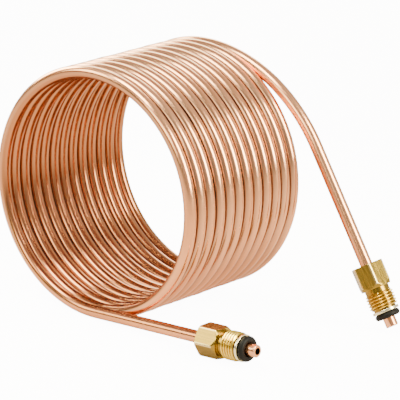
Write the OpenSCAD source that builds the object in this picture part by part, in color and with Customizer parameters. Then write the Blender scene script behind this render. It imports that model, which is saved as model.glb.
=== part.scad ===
// Coil of copper tube with a brass tube nut and a rubber sealing ring at each end.
// It lies on its side: coil axis along Y, near tail at the -Y end, floor at Z = 0.

/* [Tube] */
// Outside diameter of the copper tube
tube_od = 6; // [4:0.5:8]
// Bore of the copper tube
tube_bore = 3; // [1:0.5:3]
// Edge break at the outside of each tube end
tube_chamfer = 0.6; // [0.2:0.1:0.8]

/* [Coil] */
// Mean diameter of the coil, tube centre to tube centre
coil_d = 117; // [90:1:160]
// Bare gap between one turn and the next
turn_gap = 0.5; // [0.2:0.1:3]
// Number of half turns from the near tail to the far tail
half_turns = 25; // [9:2:31]

/* [Tails] */
// Straight tube between the coil and the back of the near nut
near_tail = 69; // [60:1:120]
// Radius of the bend that leads off the last turn
far_bend_r = 79; // [65:1:110]
// Straight tube between that bend and the back of the far nut
far_tail = 61; // [30:1:64]
// Angle of the bend that leads off the last turn
far_turn = 61.9274; // [54:0.0001:68]
// Length of bare tube beyond each sealing ring
nose_l = 4.5; // [2:0.5:8]

/* [Nuts] */
// Distance across the flats of the hexagon
hex_af = 14.5; // [14.5:0.5:19]
// Length of the hexagon
hex_l = 12; // [8:0.5:16]
// Length of the cone that turns the corners down at the front of the hexagon
hex_cone_l = 2.3; // [1:0.1:3]
// Edge break at the corners at the back of the hexagon
hex_chamfer = 0.5; // [0.2:0.1:1]
// Diameter of the plain neck behind the thread
neck_d = 12; // [11:0.5:13]
// Length of the plain neck
neck_l = 2.4; // [1:0.2:4]
// Outside diameter of the thread
thread_d = 14; // [13.5:0.5:15]
// Length of the threaded part
thread_l = 7.6; // [5:0.2:12]
// Edge break at both ends of the thread
thread_chamfer = 0.8; // [0.4:0.1:1]
// Diameter at the bottom of the groove in front of the thread
groove_d = 11; // [10.5:0.5:12]
// Width of that groove
groove_w = 0.8; // [0.5:0.1:1.5]
// Diameter of the end collar
collar_d = 13; // [12.5:0.5:13.5]
// Width of the end collar
collar_w = 1.4; // [1:0.1:3]
// Gap all round between a nut and the tube inside it
nut_clear = 0.1; // [0.05:0.05:0.3]
// How far the far nut is turned on the tube
far_nut_turn = 10; // [-30:1:30]

/* [Sealing rings] */
// Diameter of the round section of a sealing ring
ring_section = 3.1; // [2:0.1:3.2]
// Gap all round between a sealing ring and the tube inside it
ring_clear = 0.05; // [0.05:0.05:0.2]

/* [Hidden] */
$fn = 96;
tube_r = tube_od / 2;
bore_r = tube_bore / 2;
coil_r = coil_d / 2;
pitch = tube_od + turn_gap;
half_pitch = pitch / 2;
// Each half turn is a half ring whose plane leans by this angle
lean = atan(half_pitch / coil_d);
lean_r = coil_r / cos(lean);
coil_l = half_turns * half_pitch;
axis_z = coil_r + tube_r;
nut_l = hex_l + neck_l + thread_l + groove_w + collar_w;
end_l = nut_l + ring_section + nose_l;
hex_r = hex_af / 2;
hex_corner_r = hex_r / cos(30);
nut_bore_r = tube_r + nut_clear;
ring_r = tube_r + ring_clear + ring_section / 2;
// The near tail climbs just enough for the near nut to lie on the floor beside the coil
nut_drop = hex_r - tube_r;
near_rise = asin(nut_drop / near_tail);
// The far tail points this far below level
far_slope = far_turn - near_rise;
// Reach of the far end in X from the coil axis, which sets the middle of the whole part
far_root_x = (far_bend_r - coil_r) * sin(near_rise) + far_bend_r * sin(far_slope);
far_ring_x = (far_tail + nut_l + ring_section / 2) * cos(far_slope) + ring_r * sin(far_slope) + ring_section / 2;
far_nose_x = (far_tail + end_l - tube_chamfer) * cos(far_slope) + tube_r * sin(far_slope);
reach_x = far_root_x + max(far_ring_x, far_nose_x);
axis_x = (lean_r + tube_r - reach_x) / 2;
// The far tail leans outwards with the plane of its bend, and its nut reaches out less when turned
far_ridge_l = far_tail + hex_l - hex_cone_l;
far_lean_y = (far_bend_r * (1 - cos(far_turn)) + far_ridge_l * sin(far_turn)) * sin(lean);
axis_y = (hex_corner_r * (1 - cos(far_nut_turn)) - far_lean_y) / 2;
// Half turns on each side of the middle one
side_turns = (half_turns - 1) / 2;

module tube_section() {
    difference() {
        circle(tube_r);
        circle(bore_r);
    }
}

// Half turn in its own plane, from +X round to -X
module half_turn() {
    rotate_extrude(angle = 180)
        translate([lean_r, 0])
            tube_section();
}

// Moves from one half turn to the next (side -1) or to the one before (side 1)
module next_half_turn(side) {
    translate([side * lean_r, 0, 0])
        rotate([0, 2 * lean, 180])
            translate([side * lean_r, 0, 0])
                children();
}

// Moves on by a number of half turns
module half_turns_on(count, side) {
    if (count == 0)
        children();
    else
        next_half_turn(side)
            half_turns_on(count - 1, side)
                children();
}

// A half turn and those that follow it on one side, each joined to the one before
module winding(count, side) {
    half_turn();
    if (count > 0)
        next_half_turn(side)
            winding(count - 1, side);
}

// Straight run of tube along +Z with its outer edge broken at the free end
module straight(len) {
    rotate_extrude()
        polygon([
            [bore_r, 0],
            [tube_r, 0],
            [tube_r, len - tube_chamfer],
            [tube_r - tube_chamfer, len],
            [bore_r, len]
        ]);
}

// Plane of the middle half turn
module middle_turn() {
    translate([axis_x, axis_y, axis_z])
        rotate([0, 90 - near_rise, 0])
            rotate([-90, 0, 180 * side_turns])
                rotate([0, lean, 0])
                    children();
}

// Start of the near tail, which runs off along +Z
module near_tail_turn() {
    half_turns_on(side_turns, 1)
        translate([lean_r, 0, 0])
            rotate([90, 0, 0])
                children();
}

// Centre of the bend that leads off the last turn, leaning as a further half turn would
module far_bend_turn() {
    half_turns_on(side_turns, -1)
        translate([-lean_r, 0, 0])
            rotate([0, 2 * lean, 180])
                translate([-far_bend_r, 0, 0])
                    children();
}

// Start of the far tail in the frame of its bend, running off along +Z
module far_tail_in_bend() {
    rotate([0, 0, far_turn])
        translate([far_bend_r, 0, 0])
            rotate([-90, 0, 0])
                children();
}

// The bend that leads off the last turn
module far_bend() {
    rotate_extrude(angle = far_turn)
        translate([far_bend_r, 0])
            tube_section();
}

module copper_tube() {
    color([0.80, 0.50, 0.36])
        middle_turn()
            union() {
                winding(side_turns, 1);
                next_half_turn(-1)
                    winding(side_turns - 1, -1);
                near_tail_turn()
                    straight(near_tail + end_l);
                far_bend_turn()
                    union() {
                        far_bend();
                        far_tail_in_bend()
                            straight(far_tail + end_l);
                    }
            }
}

// Hexagon with its corners broken at the back and turned down to a cone at the front
module nut_hexagon() {
    intersection() {
        linear_extrude(hex_l)
            rotate(30)
                circle(hex_corner_r, $fn = 6);
        rotate_extrude()
            polygon([
                [0, 0],
                [hex_corner_r - hex_chamfer, 0],
                [hex_corner_r, hex_chamfer],
                [hex_corner_r, hex_l - hex_cone_l],
                [hex_r, hex_l],
                [0, hex_l]
            ]);
    }
}

module tube_nut() {
    thread_z = hex_l + neck_l;
    groove_z = thread_z + thread_l;
    collar_z = groove_z + groove_w;
    thread_r = thread_d / 2;
    difference() {
        union() {
            nut_hexagon();
            rotate_extrude()
                polygon([
                    [0, hex_l / 2],
                    [neck_d / 2, hex_l / 2],
                    [neck_d / 2, thread_z],
                    [thread_r - thread_chamfer, thread_z],
                    [thread_r, thread_z + thread_chamfer],
                    [thread_r, groove_z - thread_chamfer],
                    [thread_r - thread_chamfer, groove_z],
                    [groove_d / 2, groove_z],
                    [groove_d / 2, collar_z],
                    [collar_d / 2, collar_z],
                    [collar_d / 2, nut_l],
                    [0, nut_l]
                ]);
        }
        translate([0, 0, -1])
            cylinder(h = nut_l + 2, r = nut_bore_r);
    }
}

module sealing_ring() {
    rotate_extrude()
        translate([ring_r, nut_l + ring_section / 2])
            circle(ring_section / 2);
}

module near_nut() {
    color([0.80, 0.62, 0.28])
        middle_turn()
            near_tail_turn()
                translate([0, 0, near_tail])
                    rotate(lean)
                        tube_nut();
}

module far_nut() {
    color([0.80, 0.62, 0.28])
        middle_turn()
            far_bend_turn()
                far_tail_in_bend()
                    translate([0, 0, far_tail])
                        rotate(far_nut_turn)
                            tube_nut();
}

module near_ring() {
    color([0.06, 0.06, 0.06])
        middle_turn()
            near_tail_turn()
                translate([0, 0, near_tail])
                    sealing_ring();
}

module far_ring() {
    color([0.06, 0.06, 0.06])
        middle_turn()
            far_bend_turn()
                far_tail_in_bend()
                    translate([0, 0, far_tail])
                        sealing_ring();
}

copper_tube();
near_nut();
far_nut();
near_ring();
far_ring();
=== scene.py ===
"""Coil of copper tube lying on its side, with a brass tube nut and a rubber sealing ring at each end."""

import bpy
import numpy as np
from mathutils import Matrix, Vector


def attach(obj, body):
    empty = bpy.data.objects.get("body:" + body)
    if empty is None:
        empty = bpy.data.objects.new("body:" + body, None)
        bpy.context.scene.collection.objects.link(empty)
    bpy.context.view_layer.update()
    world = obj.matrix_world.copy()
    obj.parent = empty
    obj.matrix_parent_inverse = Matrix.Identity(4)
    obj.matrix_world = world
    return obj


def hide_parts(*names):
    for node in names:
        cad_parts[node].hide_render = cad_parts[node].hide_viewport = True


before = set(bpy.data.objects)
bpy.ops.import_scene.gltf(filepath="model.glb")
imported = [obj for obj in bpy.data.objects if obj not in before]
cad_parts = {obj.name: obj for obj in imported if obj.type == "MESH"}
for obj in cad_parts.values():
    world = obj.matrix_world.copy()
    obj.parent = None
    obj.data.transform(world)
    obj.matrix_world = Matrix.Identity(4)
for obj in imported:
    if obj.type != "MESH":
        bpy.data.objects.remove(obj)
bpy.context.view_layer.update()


# Copper tube: one 4.9 m length of soft drawn tube, 6 mm outside with a 3 mm bore.
# It is cold wound round a drum into twelve and a half turns, and its two ends are led
# off as tails that pass through the nuts and end as short noses with a rounded edge.
MM = 0.001
tube_r = 3.0 * MM
bore_r = 1.5 * MM
edge_round = 0.6 * MM
coil_r = 58.5 * MM
turns = 12.5
coil_l = 81.25 * MM
coil_centre = np.array([-28.9762, -1.3831, 61.5]) * MM
near_tail = 69.0 * MM
nut_drop = 4.25 * MM
near_rise = np.arcsin(nut_drop / near_tail)
far_bend_r = 79.0 * MM
far_turn = np.radians(61.9274)
far_lean = np.radians(1.5912)
far_tail = 61.0 * MM
end_l = 31.8 * MM
ease_turns = 0.5

# Unevenness of the winding: each wave is its share, its speed over the turns and its start.
hand_slack = 0.25 * MM
even_slack = 0.5
slack_waves = ((0.3, 2.3, 0.8), (0.2, 5.1, 0.0))
hand_stray = 0.12 * MM
stray_waves = ((0.6, 3.7, 1.0), (0.4, 1.3, 2.0))

# Painted shade: how far a tail lies on the coil in turns, how narrow a shaded seam is, how much
# of that shade is lost on the inner, drum side, and the cosine round the tube where its shade is full.
leaving_turns = 0.1
seam_narrowing = 2.5
seam_lost_on_drum = 0.85
drum_full_at = 0.5

fresh_copper = (0.94, 0.455, 0.24, 1)
dull_copper = (0.86, 0.37, 0.165, 1)
# Painted shade: darker copper on the inner side of the coil and in the seams between turns.
inner_shade_copper = (0.48, 0.195, 0.086, 1)
seam_shade_copper = (0.27, 0.178, 0.132, 1)
# Painted shade that makes the bore nearly black.
bore_shade_copper = (0.03, 0.012, 0.008, 1)

up_the_tail = np.array([np.cos(near_rise), 0.0, np.sin(near_rise)])
winding_start = coil_centre + [coil_r * np.sin(near_rise), -coil_l / 2, -coil_r * np.cos(near_rise)]
winding_end = coil_centre + [-coil_r * np.sin(near_rise), coil_l / 2, coil_r * np.cos(near_rise)]
into_far_bend = np.array([
    np.sin(near_rise) * np.cos(far_lean),
    np.sin(far_lean),
    -np.cos(near_rise) * np.cos(far_lean),
])
down_the_tail = np.cos(far_turn) * up_the_tail + np.sin(far_turn) * into_far_bend
far_bend_end = (
    winding_end
    + far_bend_r * np.sin(far_turn) * up_the_tail
    + far_bend_r * (1 - np.cos(far_turn)) * into_far_bend
)

near_run = near_tail + end_l
winding_run = turns * 2 * np.pi * coil_r
bend_run = far_bend_r * far_turn
far_run = far_tail + end_l
tube_run = near_run + winding_run + bend_run + far_run


def smooth_step(low, high, value):
    """Nought below low, one above high, and an even S between."""
    part = np.clip((value - low) / (high - low), 0, 1)
    return part**2 * (3 - 2 * part)


def eased_advance(turn):
    """Advance of the winding along its axis, in turns: the slope grows from nought by a
    smooth step over the first ease_turns, stays even, and falls off likewise at the far end."""
    def from_level(t):
        part = np.clip(t / ease_turns, 0, 1)
        return ease_turns * (part**3 - part**4 / 2) + np.maximum(t - ease_turns, 0)
    whole = turns - ease_turns
    return np.where(turn < turns / 2, from_level(turn), whole - from_level(turns - turn)) / whole


def waves(turn, parts):
    """Sum of sines over the turns, each with its share, its speed and its start."""
    return sum(share * np.sin(speed * turn + start) for share, speed, start in parts)


def winding_wander(turn):
    """Unevenness of a winding by hand: the coil pulls in by up to hand_slack and strays
    along its axis by up to hand_stray, in slow sines that fade out at both ends."""
    held = smooth_step(0, 1, np.minimum(turn, turns - turn))
    slack = hand_slack * held * (even_slack + waves(turn, slack_waves))
    stray = hand_stray * held * waves(turn, stray_waves)
    return slack, stray


def tube_centre(run):
    """Centre of the tube and its side away from the coil axis, at a length along the tube
    from the near nose: a straight, a circle that advances by an eased pitch and wanders a
    little, an arc in a plane that leans outwards, and a straight."""
    run = np.asarray(run)[:, None]
    turn = np.clip(run - near_run, 0, winding_run) / (2 * np.pi * coil_r)
    angle = near_rise - 2 * np.pi * turn
    away = np.concatenate([np.sin(angle), 0 * angle, -np.cos(angle)], axis=1)
    slack, stray = winding_wander(turn)
    advance = (eased_advance(turn) - 0.5) * coil_l + stray
    centre = coil_centre + (coil_r - slack) * away + advance * [0.0, 1.0, 0.0]
    centre = centre - np.minimum(run - near_run, 0) * up_the_tail
    bend = np.clip(run - near_run - winding_run, 0, bend_run) / far_bend_r
    bent = bend > 0
    along_bend = far_bend_r * (np.sin(bend) * up_the_tail + (1 - np.cos(bend)) * into_far_bend)
    centre = centre + np.where(bent, along_bend, 0.0)
    away_bend = np.sin(bend) * up_the_tail - np.cos(bend) * into_far_bend
    away = np.where(bent, away_bend, away)
    centre = centre + np.maximum(run - near_run - winding_run - bend_run, 0) * down_the_tail
    return centre, away


def tube_frames(run):
    """Centre of the tube with two directions square to it: away from the coil, and across."""
    step = 0.02 * MM
    centre, away = tube_centre(run)
    along = tube_centre(run + step)[0] - tube_centre(run - step)[0]
    along /= np.linalg.norm(along, axis=1, keepdims=True)
    away = away - (away * along).sum(axis=1, keepdims=True) * along
    away /= np.linalg.norm(away, axis=1, keepdims=True)
    return centre, away, np.cross(along, away)


def closed_grid_mesh(name, points, attribute, values):
    """Mesh from a grid of points whose rows and columns both run round and close. An attribute
    keeps the points as they are in the piece's own straight frame, for the patterns on it."""
    rows, columns = points.shape[:2]
    index = np.arange(rows * columns).reshape(rows, columns)
    next_row = np.roll(index, -1, axis=0)
    corners = [index, np.roll(index, -1, axis=1), np.roll(next_row, -1, axis=1), next_row]
    mesh = bpy.data.meshes.new(name)
    mesh.vertices.add(rows * columns)
    mesh.vertices.foreach_set("co", points.reshape(-1))
    mesh.loops.add(4 * rows * columns)
    mesh.loops.foreach_set("vertex_index", np.stack(corners, axis=-1).reshape(-1))
    mesh.polygons.add(rows * columns)
    mesh.polygons.foreach_set("loop_start", np.arange(rows * columns) * 4)
    mesh.update(calc_edges=True)
    mesh.validate()
    layer = mesh.attributes.new(attribute, "FLOAT_VECTOR", "POINT")
    layer.data.foreach_set("vector", values.reshape(-1))
    mesh.shade_smooth()
    piece = bpy.data.objects.new(name, mesh)
    bpy.context.scene.collection.objects.link(piece)
    return piece


def rounded_end(depth, steps):
    """Distances from the cut and radii of a tube end whose outer edge is a quarter round."""
    angle = np.linspace(0, np.pi / 2, steps)
    return depth * (1 - np.sin(angle)), tube_r - depth * (1 - np.cos(angle))


def painted_shade_parts(run, around):
    """Where shade is painted on the copper: in the seams between turns, by a power of the sine round
    the tube that fades out where a tail leaves the coil, and on the inner side of the coil, which
    lay on the drum, by a smooth step of the cosine from one nut to the other."""
    turn = (run[:, None] - near_run) / (2 * np.pi * coil_r)
    side = np.sin(around)[None, :]

    def lying_on(turns_past_end):
        return smooth_step(-leaving_turns, 0.0, turns_past_end)

    has_next = lying_on(turn) * lying_on(turns - 1 - turn)
    has_last = lying_on(turn - 1) * lying_on(turns - turn)
    between_nuts = (run > end_l / 2) & (run < tube_run - end_l / 2)
    painted_inner_shade = between_nuts[:, None] * smooth_step(0.0, drum_full_at, -np.cos(around)[None, :])
    has_neighbour = np.where(side > 0, has_last, has_next)
    seam = np.abs(side) ** seam_narrowing * has_neighbour * (1 - seam_lost_on_drum * painted_inner_shade)
    return {"painted_seam_shade": seam, "painted_inner_shade": painted_inner_shade}


sharp_angle = np.radians(32)


def wound_tube():
    """Circle carried along the tube's centre line: out along the outside, round the far cut,
    back along the bore and round the near cut."""
    sides = 32
    straight_steps = 14
    turn_steps = 200
    bend_steps = 54
    edge_steps = 6
    bore_stride = 8
    ends = [0, near_run, near_run + winding_run, near_run + winding_run + bend_run, tube_run]
    steps = [straight_steps, int(turns * turn_steps), bend_steps, straight_steps]
    wall = [np.linspace(a, b, n, endpoint=False) for a, b, n in zip(ends[:-1], ends[1:], steps)]
    wall = np.concatenate(wall)[1:]
    depth, round_r = rounded_end(edge_round, edge_steps)
    inside = wall[::-bore_stride]
    run = np.concatenate([depth[::-1], wall, tube_run - depth, [tube_run], inside, [0.0]])
    radius = np.concatenate([
        round_r[::-1],
        np.full(len(wall), tube_r),
        round_r,
        [bore_r],
        np.full(len(inside), bore_r),
        [bore_r],
    ])
    around = np.linspace(0, 2 * np.pi, sides, endpoint=False)
    centre, away, across = tube_frames(run)
    ring = np.cos(around)[None, :, None] * away[:, None] + np.sin(around)[None, :, None] * across[:, None]
    points = centre[:, None] + radius[:, None, None] * ring
    laid_straight = np.stack([
        np.broadcast_to(run[:, None], points.shape[:2]),
        radius[:, None] * np.cos(around),
        radius[:, None] * np.sin(around),
    ], axis=-1)
    tube = closed_grid_mesh("wound_copper_tube", points, "laid_straight", laid_straight)
    tube.data.set_sharp_from_angle(angle=sharp_angle)
    # Masks of painted shade, kept as attributes for the copper material.
    for name, values in painted_shade_parts(run, around).items():
        layer = tube.data.attributes.new(name, "FLOAT", "POINT")
        layer.data.foreach_set("value", values.reshape(-1))
    return tube


copper_piece = wound_tube()
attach(copper_piece, "root")
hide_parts("copper_tube")


def add_node(tree, kind, values=None, **settings):
    """Adds a shader node with its settings and the values of its unlinked sockets."""
    node = tree.nodes.new(kind)
    for name, setting in settings.items():
        setattr(node, name, setting)
    for name, value in (values or {}).items():
        node.inputs[name].default_value = value
    return node


def new_material(name):
    """New material with its node tree and its shader."""
    material = bpy.data.materials.new(name)
    material.use_nodes = True
    return material, material.node_tree, material.node_tree.nodes["Principled BSDF"]


def map_range(tree, value, low, high, to_low=0.0, to_high=1.0):
    """Carries a value evenly from one span to another and holds it at the ends."""
    node = add_node(tree, "ShaderNodeMapRange", {"From Min": low, "From Max": high})
    node.inputs["To Min"].default_value = to_low
    node.inputs["To Max"].default_value = to_high
    tree.links.new(value, node.inputs["Value"])
    return node.outputs["Result"]


def colour_mix(tree, factor, first, second):
    """Goes from a first colour, which is plain or comes from a node, to a plain second one."""
    mix = add_node(tree, "ShaderNodeMix", {"B": second}, data_type="RGBA")
    tree.links.new(factor, mix.inputs["Factor"])
    if isinstance(first, tuple):
        mix.inputs["A"].default_value = first
    else:
        tree.links.new(first, mix.inputs["A"])
    return mix.outputs["Result"]


def stretched_noise(tree, vector, scale, **values):
    """Noise whose grain has its own scale along each axis of the vector."""
    stretch = add_node(tree, "ShaderNodeMapping", {"Scale": scale})
    noise = add_node(tree, "ShaderNodeTexNoise", {"Scale": 1.0, **values})
    tree.links.new(vector, stretch.inputs["Vector"])
    tree.links.new(stretch.outputs["Vector"], noise.inputs["Vector"])
    return noise.outputs["Fac"]


def bumped(tree, height, strength, distance):
    """Bump node over a height, with the height of a full step in metres."""
    bump = add_node(tree, "ShaderNodeBump", {"Strength": strength, "Distance": distance})
    tree.links.new(height, bump.inputs["Height"])
    return bump


def drawn_surface_group():
    """Group for metal that was pulled or turned along X of its vector: lines that are long
    along X and hair-thin across it, and soft patches where the bright metal has dulled."""
    group = bpy.data.node_groups.new("drawn_surface", "ShaderNodeTree")
    group.interface.new_socket("Vector", in_out="INPUT", socket_type="NodeSocketVector")
    group.interface.new_socket("Lines", in_out="OUTPUT", socket_type="NodeSocketFloat")
    group.interface.new_socket("Dull", in_out="OUTPUT", socket_type="NodeSocketFloat")
    start = group.nodes.new("NodeGroupInput")
    end = group.nodes.new("NodeGroupOutput")
    vector = start.outputs["Vector"]
    lines = stretched_noise(group, vector, (30.0, 2600.0, 2600.0), Detail=3.0, Roughness=0.6)
    patches = stretched_noise(group, vector, (22.0, 140.0, 140.0), Detail=4.0, Roughness=0.55)
    group.links.new(lines, end.inputs["Lines"])
    group.links.new(map_range(group, patches, 0.35, 0.7), end.inputs["Dull"])
    return group


drawn_surface = drawn_surface_group()


def copper_material():
    """Bright copper: pink where it is fresh and browner in dull patches, with painted shade that
    darkens the seams and the inner side of the coil and makes the bore nearly black, and drawing
    lines that roughen it."""
    material, tree, bsdf = new_material("drawn_copper")
    link = tree.links.new
    bsdf.inputs["Metallic"].default_value = 1.0
    laid = add_node(tree, "ShaderNodeAttribute", attribute_name="laid_straight")
    surface = add_node(tree, "ShaderNodeGroup", node_tree=drawn_surface)
    link(laid.outputs["Vector"], surface.inputs["Vector"])
    colour = colour_mix(tree, surface.outputs["Dull"], fresh_copper, dull_copper)
    # Painted shade on the inner side of the coil and in the seams between turns.
    for mask, tint in (("painted_inner_shade", inner_shade_copper), ("painted_seam_shade", seam_shade_copper)):
        masked = add_node(tree, "ShaderNodeAttribute", attribute_name=mask)
        colour = colour_mix(tree, masked.outputs["Fac"], colour, tint)
    # Painted shade: the bore and the inner edge of the cut face are made nearly black.
    section = add_node(tree, "ShaderNodeVectorMath", {1: (0.0, 1.0, 1.0)}, operation="MULTIPLY")
    section_r = add_node(tree, "ShaderNodeVectorMath", operation="LENGTH")
    link(laid.outputs["Vector"], section.inputs[0])
    link(section.outputs["Vector"], section_r.inputs[0])
    painted_bore_shade = map_range(tree, section_r.outputs["Value"], bore_r + 0.4 * MM, bore_r + 0.1 * MM)
    link(colour_mix(tree, painted_bore_shade, colour, bore_shade_copper), bsdf.inputs["Base Color"])
    roughness = map_range(tree, surface.outputs["Lines"], 0.3, 0.7, to_low=0.15, to_high=0.27)
    link(roughness, bsdf.inputs["Roughness"])
    scored = bumped(tree, surface.outputs["Lines"], strength=0.12, distance=0.04 * MM)
    link(scored.outputs["Normal"], bsdf.inputs["Normal"])
    return material


copper_piece.data.materials.append(copper_material())


# Tube nuts: turned from hexagon brass bar, 14.5 mm across the flats, with a plain neck, a
# 14 mm thread of 1.5 mm pitch, a groove and a thin end collar. Each sits loose on the tube,
# and the near one lies on the floor on one of its flats.
hex_r = 7.25 * MM
hex_l = 12.0 * MM
hex_back_bevel = 0.5 * MM
hex_front_cone = 2.3 * MM
corner_r = hex_r / np.cos(np.pi / 6)
corner_sharpness = 50
neck_r = 6.0 * MM
neck_l = 2.4 * MM
neck_fillet = 0.15 * MM
thread_r = 7.0 * MM
thread_l = 7.6 * MM
thread_bevel = 0.8 * MM
thread_pitch = 1.5 * MM
thread_depth = 0.92 * MM
tooth_slope = 1.3
tooth_root = 0.15
groove_r = 5.5 * MM
groove_w = 0.8 * MM
collar_r = 6.5 * MM
collar_w = 1.4 * MM
collar_round = 0.25 * MM
nut_bore_r = 3.1 * MM
far_nut_turn = np.radians(10.0)
thread_z = hex_l + neck_l
groove_z = thread_z + thread_l
collar_z = groove_z + groove_w
nut_l = collar_z + collar_w

bright_brass = (0.95, 0.69, 0.12, 1)
dull_brass = (0.78, 0.53, 0.08, 1)
bar_skin = (0.20, 0.118, 0.019, 1)
bar_skin_cover = 0.85
thread_bottom = (0.27, 0.15, 0.02, 1)
# Painted highlight: the pale colour of the end collar.
collar_highlight_brass = (0.98, 0.87, 0.55, 1)
# Corners: rubbed wear and a painted highlight, lighter from the first radius to the second.
corner_wear_and_highlight = (0.95, 0.74, 0.34, 1)
wear_and_highlight_from_r = 7.95 * MM
wear_and_highlight_full_r = 8.2 * MM


def hexagon_reach(around):
    """Radius of a hexagon with slightly rounded corners: the flat's distance over the root
    of the summed high powers of the cosines to the six flats, a soft largest one."""
    towards = np.cos(around[:, None] - np.arange(6) * np.pi / 3)
    return hex_r / (np.maximum(towards, 0) ** corner_sharpness).sum(axis=1) ** (1 / corner_sharpness)


def thread_reach(z, around):
    """Radius of the thread: a blunt tooth of the pitch that climbs one pitch a turn."""
    place = z / thread_pitch - around / (2 * np.pi)
    tooth = 1 - np.abs(2 * (place - np.floor(place)) - 1)
    return thread_r - thread_depth * (1 - np.clip(tooth_slope * tooth - tooth_root, 0, 1))


def tube_nut(name, base, axis, flat):
    """Radius of the nut over its length and round its axis: the smaller of the turned
    profile, the hexagon of the bar and, along the thread, the thread's tooth."""
    flat_rows = 5
    bevel_rows = 9
    round_rows = 5
    thread_rows = 77
    ramp = np.linspace(0, 1, bevel_rows)
    quarter = np.linspace(0, np.pi / 2, round_rows)
    threaded = np.linspace(thread_z, groove_z, thread_rows)
    from_thread_end = np.minimum(threaded - thread_z, groove_z - threaded)
    z = np.concatenate([
        [0.0], ramp * hex_back_bevel,
        np.linspace(hex_back_bevel, hex_l - hex_front_cone, flat_rows + 2)[1:-1],
        hex_l - ramp[::-1] * hex_front_cone,
        [hex_l, hex_l + neck_fillet, thread_z], threaded,
        [groove_z, collar_z, collar_z],
        collar_z + collar_round * (1 - np.cos(quarter)), nut_l - collar_round * (1 - np.sin(quarter)),
        [nut_l, nut_l / 2],
    ])
    radius = np.concatenate([
        [nut_bore_r], corner_r - (1 - ramp) * hex_back_bevel,
        np.full(flat_rows, corner_r),
        hex_r + ramp[::-1] * (corner_r - hex_r),
        [neck_r + neck_fillet, neck_r, neck_r], thread_r - np.maximum(thread_bevel - from_thread_end, 0),
        [groove_r, groove_r, collar_r - collar_round],
        collar_r - collar_round * (1 - np.sin(quarter)), collar_r - collar_round * (1 - np.cos(quarter)),
        [nut_bore_r, nut_bore_r],
    ])
    # Columns over half of one flat, as shares of a sixth turn, closest at the corner.
    half_flat = np.array([0, 0.01, 0.025, 0.05, 0.09, 0.15, 0.22, 0.29, 0.36, 0.43])
    sixth = np.concatenate([half_flat, [0.5], 1 - half_flat[:0:-1]])
    around = np.pi / 6 + ((np.arange(6)[:, None] + sixth) * np.pi / 3).reshape(-1)
    reach = np.minimum(radius[:, None], hexagon_reach(around))
    in_thread = ((z > thread_z) & (z < groove_z))[:, None]
    reach = np.where(in_thread, np.minimum(reach, thread_reach(z[:, None], around)), reach)
    along = np.broadcast_to(z[:, None], reach.shape)
    local = np.stack([reach * np.cos(around), reach * np.sin(around), along], axis=-1)
    points = base + local @ np.stack([flat, np.cross(axis, flat), axis])
    nut = closed_grid_mesh(name, points, "turned", local)
    nut.data.set_sharp_from_angle(angle=sharp_angle)
    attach(nut, "root")
    return nut


near_nut_base = winding_start + near_tail * up_the_tail
far_nut_base = far_bend_end + far_tail * down_the_tail
near_flat = np.array([np.sin(near_rise), 0.0, -np.cos(near_rise)])
far_side = np.sin(far_turn) * up_the_tail - np.cos(far_turn) * into_far_bend
far_flat = np.cos(far_nut_turn) * far_side + np.sin(far_nut_turn) * np.cross(down_the_tail, far_side)
near_nut = tube_nut("near_brass_nut", near_nut_base, up_the_tail, near_flat)
far_nut = tube_nut("far_brass_nut", far_nut_base, down_the_tail, far_flat)
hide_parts("near_nut")
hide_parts("far_nut")


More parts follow.
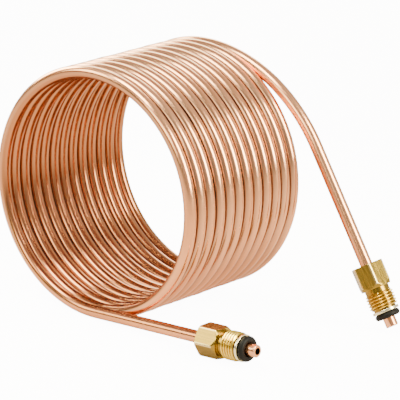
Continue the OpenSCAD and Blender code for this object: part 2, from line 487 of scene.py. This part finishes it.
def brass_material():
    """Brass: a dark drawn skin on the hexagon, bright where it was turned, brown in the bottom
    of the thread and groove, pale on the end collar by a painted highlight, and lighter along the
    corners by rubbed wear and a painted highlight.
    Drawing lines and a slight waviness run along the bar."""
    material, tree, bsdf = new_material("turned_brass")
    link = tree.links.new
    bsdf.inputs["Metallic"].default_value = 1.0
    turned = add_node(tree, "ShaderNodeAttribute", attribute_name="turned")
    apart = add_node(tree, "ShaderNodeSeparateXYZ")
    along = add_node(tree, "ShaderNodeCombineXYZ")
    surface = add_node(tree, "ShaderNodeGroup", node_tree=drawn_surface)
    across_bar = add_node(tree, "ShaderNodeVectorMath", {1: (1.0, 1.0, 0.0)}, operation="MULTIPLY")
    reach = add_node(tree, "ShaderNodeVectorMath", operation="LENGTH")
    link(turned.outputs["Vector"], apart.inputs["Vector"])
    link(apart.outputs["Z"], along.inputs["X"])
    link(apart.outputs["X"], along.inputs["Y"])
    link(apart.outputs["Y"], along.inputs["Z"])
    link(along.outputs["Vector"], surface.inputs["Vector"])
    link(turned.outputs["Vector"], across_bar.inputs[0])
    link(across_bar.outputs["Vector"], reach.inputs[0])
    from_back = apart.outputs["Z"]
    from_axis = reach.outputs["Value"]
    on_hexagon = map_range(tree, from_back, hex_l + 0.2 * MM, hex_l - 0.1 * MM, to_high=bar_skin_cover)
    deep = map_range(tree, from_axis, thread_r - 0.1 * MM, neck_r - 0.1 * MM)
    on_collar = map_range(tree, from_back, collar_z - 0.05 * MM, collar_z + 0.05 * MM)
    on_corner = map_range(tree, from_axis, wear_and_highlight_from_r, wear_and_highlight_full_r)
    colour = colour_mix(tree, surface.outputs["Dull"], bright_brass, dull_brass)
    colour = colour_mix(tree, on_hexagon, colour, bar_skin)
    colour = colour_mix(tree, deep, colour, thread_bottom)
    # Painted highlight that makes the end collar pale.
    colour = colour_mix(tree, on_collar, colour, collar_highlight_brass)
    # Rubbed wear and a painted highlight make the corners lighter.
    colour = colour_mix(tree, on_corner, colour, corner_wear_and_highlight)
    link(colour, bsdf.inputs["Base Color"])
    roughness = map_range(tree, surface.outputs["Lines"], 0.3, 0.7, to_low=0.14, to_high=0.28)
    link(roughness, bsdf.inputs["Roughness"])
    uneven = stretched_noise(tree, along.outputs["Vector"], (60.0, 420.0, 420.0), Detail=2.0)
    wavy = bumped(tree, uneven, strength=0.5, distance=0.25 * MM)
    scored = bumped(tree, surface.outputs["Lines"], strength=0.2, distance=0.05 * MM)
    link(wavy.outputs["Normal"], scored.inputs["Normal"])
    link(scored.outputs["Normal"], bsdf.inputs["Normal"])
    return material


turned_brass = brass_material()
near_nut.data.materials.append(turned_brass)
far_nut.data.materials.append(turned_brass)


# Sealing rings: black moulded rubber O-rings of 3.1 mm section, slipped onto the tube in
# front of each nut's collar. A faint mould line runs round the outside.
ring_section_r = 1.55 * MM
ring_r = 4.6 * MM
mould_line = 0.02 * MM
mould_line_spread = 0.12
clean_rubber = (0.003, 0.003, 0.003, 1)
bloomed_rubber = (0.008, 0.007, 0.007, 1)


def sealing_ring(name, base, axis, side):
    """Circle of the rubber's section carried round the tube, with a fine ridge, a bell curve
    round the section, where the two halves of the mould met."""
    section_sides = 36
    ring_sides = 72
    round_section = np.linspace(0, 2 * np.pi, section_sides, endpoint=False)[:, None]
    around = np.linspace(0, 2 * np.pi, ring_sides, endpoint=False)
    from_line = np.angle(np.exp(1j * round_section))
    ridge = mould_line * np.exp(-((from_line / mould_line_spread) ** 2))
    section_r = ring_section_r - mould_line + ridge
    reach = ring_r + section_r * np.cos(round_section) + 0 * around
    z = np.broadcast_to(nut_l + ring_section_r + section_r * np.sin(round_section), reach.shape)
    local = np.stack([reach * np.cos(around), reach * np.sin(around), z], axis=-1)
    points = base + local @ np.stack([side, np.cross(axis, side), axis])
    ring = closed_grid_mesh(name, points, "moulded", local)
    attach(ring, "root")
    return ring


near_ring = sealing_ring("near_rubber_ring", near_nut_base, up_the_tail, near_flat)
far_ring = sealing_ring("far_rubber_ring", far_nut_base, down_the_tail, far_flat)
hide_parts("near_ring")
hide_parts("far_ring")


def rubber_material():
    """Matt black rubber with a fine moulded grain and a slight grey bloom in patches."""
    material, tree, bsdf = new_material("black_rubber")
    link = tree.links.new
    bsdf.inputs["Specular IOR Level"].default_value = 0.15
    moulded = add_node(tree, "ShaderNodeAttribute", attribute_name="moulded")
    grain = add_node(tree, "ShaderNodeTexNoise", {"Scale": 5000.0, "Detail": 3.0})
    bloom = add_node(tree, "ShaderNodeTexNoise", {"Scale": 350.0, "Detail": 3.0})
    link(moulded.outputs["Vector"], grain.inputs["Vector"])
    link(moulded.outputs["Vector"], bloom.inputs["Vector"])
    colour = colour_mix(tree, bloom.outputs["Fac"], clean_rubber, bloomed_rubber)
    link(colour, bsdf.inputs["Base Color"])
    roughness = map_range(tree, bloom.outputs["Fac"], 0.0, 1.0, to_low=0.38, to_high=0.62)
    link(roughness, bsdf.inputs["Roughness"])
    grained = bumped(tree, grain.outputs["Fac"], strength=0.25, distance=0.03 * MM)
    link(grained.outputs["Normal"], bsdf.inputs["Normal"])
    return material


black_rubber = rubber_material()
near_ring.data.materials.append(black_rubber)
far_ring.data.materials.append(black_rubber)


# Stage: a plain floor and an even surround, both white to the camera. The metal sees them
# darker, so that the copper keeps its tone: the floor as warm paper with a painted pool of light
# that darkens outwards, and the surround dimmer on the near side. Large soft panels give the highlights.
floor_half = 3.0
floor_lift = 12.0
# Painted pool of light on the floor: paper under the coil, further out, and how far it darkens.
paper_in_light_pool = (0.70, 0.61, 0.57, 1)
paper_outside_light_pool = (0.33, 0.295, 0.275, 1)
light_pool_reach = 0.34
surround_seen = 17.0
surround_dim = 0.25
surround_bright = 1.1
surround_colour = (1.0, 0.96, 0.87, 1)
bright_side = (0.35, 0.94, 0.0)
panel_colour = (1.0, 0.97, 0.73)


def floor_material():
    """Matt paper with a painted pool of light, darker with the distance from the middle, and
    lifted to white by an even glow that only the camera sees."""
    material, tree, bsdf = new_material("pale_floor")
    link = tree.links.new
    bsdf.inputs["Roughness"].default_value = 0.9
    bsdf.inputs["Specular IOR Level"].default_value = 0.1
    place = add_node(tree, "ShaderNodeTexCoord")
    distance = add_node(tree, "ShaderNodeVectorMath", operation="LENGTH")
    link(place.outputs["Object"], distance.inputs[0])
    # Painted pool of light: the paper darkens with the distance from the middle.
    outwards = map_range(tree, distance.outputs["Value"], 0.0, light_pool_reach)
    paper = colour_mix(tree, outwards, paper_in_light_pool, paper_outside_light_pool)
    link(paper, bsdf.inputs["Base Color"])
    path = add_node(tree, "ShaderNodeLightPath")
    amount = add_node(tree, "ShaderNodeMath", {1: floor_lift}, operation="MULTIPLY")
    glow = add_node(tree, "ShaderNodeEmission", {"Color": (1, 1, 1, 1)})
    both = add_node(tree, "ShaderNodeAddShader")
    link(path.outputs["Is Camera Ray"], amount.inputs[0])
    link(amount.outputs["Value"], glow.inputs["Strength"])
    link(bsdf.outputs["BSDF"], both.inputs[0])
    link(glow.outputs["Emission"], both.inputs[1])
    link(both.outputs["Shader"], tree.nodes["Material Output"].inputs["Surface"])
    return material


floor_corners = [(x * floor_half, y * floor_half, 0) for x, y in ((-1, -1), (1, -1), (1, 1), (-1, 1))]
floor_mesh = bpy.data.meshes.new("floor")
floor_mesh.from_pydata(floor_corners, [], [(0, 1, 2, 3)])
floor = bpy.data.objects.new("floor", floor_mesh)
bpy.context.scene.collection.objects.link(floor)
floor.data.materials.append(floor_material())

world = bpy.data.worlds.new("studio")
bpy.context.scene.world = world
world.use_nodes = True
studio = world.node_tree
background = studio.nodes["Background"]
background.inputs["Color"].default_value = surround_colour
way = add_node(studio, "ShaderNodeTexCoord")
towards_bright = add_node(studio, "ShaderNodeVectorMath", {1: bright_side}, operation="DOT_PRODUCT")
studio.links.new(way.outputs["Generated"], towards_bright.inputs[0])
surround_felt = map_range(studio, towards_bright.outputs["Value"], -1.0, 1.0, surround_dim, surround_bright)
surround_path = add_node(studio, "ShaderNodeLightPath")
surround = add_node(studio, "ShaderNodeMix", {"B": surround_seen})
studio.links.new(surround_path.outputs["Is Camera Ray"], surround.inputs["Factor"])
studio.links.new(surround_felt, surround.inputs["A"])
studio.links.new(surround.outputs["Result"], background.inputs["Strength"])


def soft_panel(name, place, aim, size, power):
    """Rectangular soft light that faces a point: its place and aim in metres, power in watts."""
    data = bpy.data.lights.new(name, "AREA")
    data.shape = "RECTANGLE"
    data.size, data.size_y = size
    data.energy = power
    data.color = panel_colour
    panel = bpy.data.objects.new(name, data)
    bpy.context.scene.collection.objects.link(panel)
    turn = (Vector(aim) - Vector(place)).to_track_quat("-Z", "Y").to_matrix().to_4x4()
    panel.matrix_world = Matrix.Translation(place) @ turn


coil_middle = (-0.03, 0.0, 0.06)
soft_panel("right_panel", (1.18, 0.24, 0.72), (0.0, 0.0, 0.06), (0.54, 1.1), 53)
soft_panel("top_panel", (-0.15, -0.55, 1.25), coil_middle, (0.7, 0.6), 28)
soft_panel("back_panel", (-0.85, 1.05, 0.55), coil_middle, (0.9, 0.6), 14)
soft_panel("front_panel", (-0.95, -0.95, 0.75), coil_middle, (0.5, 0.6), 9)
soft_panel("left_panel", (-1.1, 0.1, 0.55), (-0.4, 0.0, 0.0), (0.5, 0.6), 22)
soft_panel("fore_panel", (0.2, -1.35, 0.72), coil_middle, (0.9, 0.45), 10)

camera_place = Vector((0.93318, -1.09030, 0.50677))
camera_aim = Vector((-0.00912, 0.01313, 0.05075))
camera_roll = np.radians(1.662)
camera_data = bpy.data.cameras.new("camera")
camera_data.sensor_width = 36.0
camera_data.lens = 283.48
camera = bpy.data.objects.new("camera", camera_data)
bpy.context.scene.collection.objects.link(camera)
aim = (camera_aim - camera_place).to_track_quat("-Z", "Y").to_matrix().to_4x4()
camera.matrix_world = Matrix.Translation(camera_place) @ aim @ Matrix.Rotation(camera_roll, 4, "Z")
bpy.context.scene.camera = camera
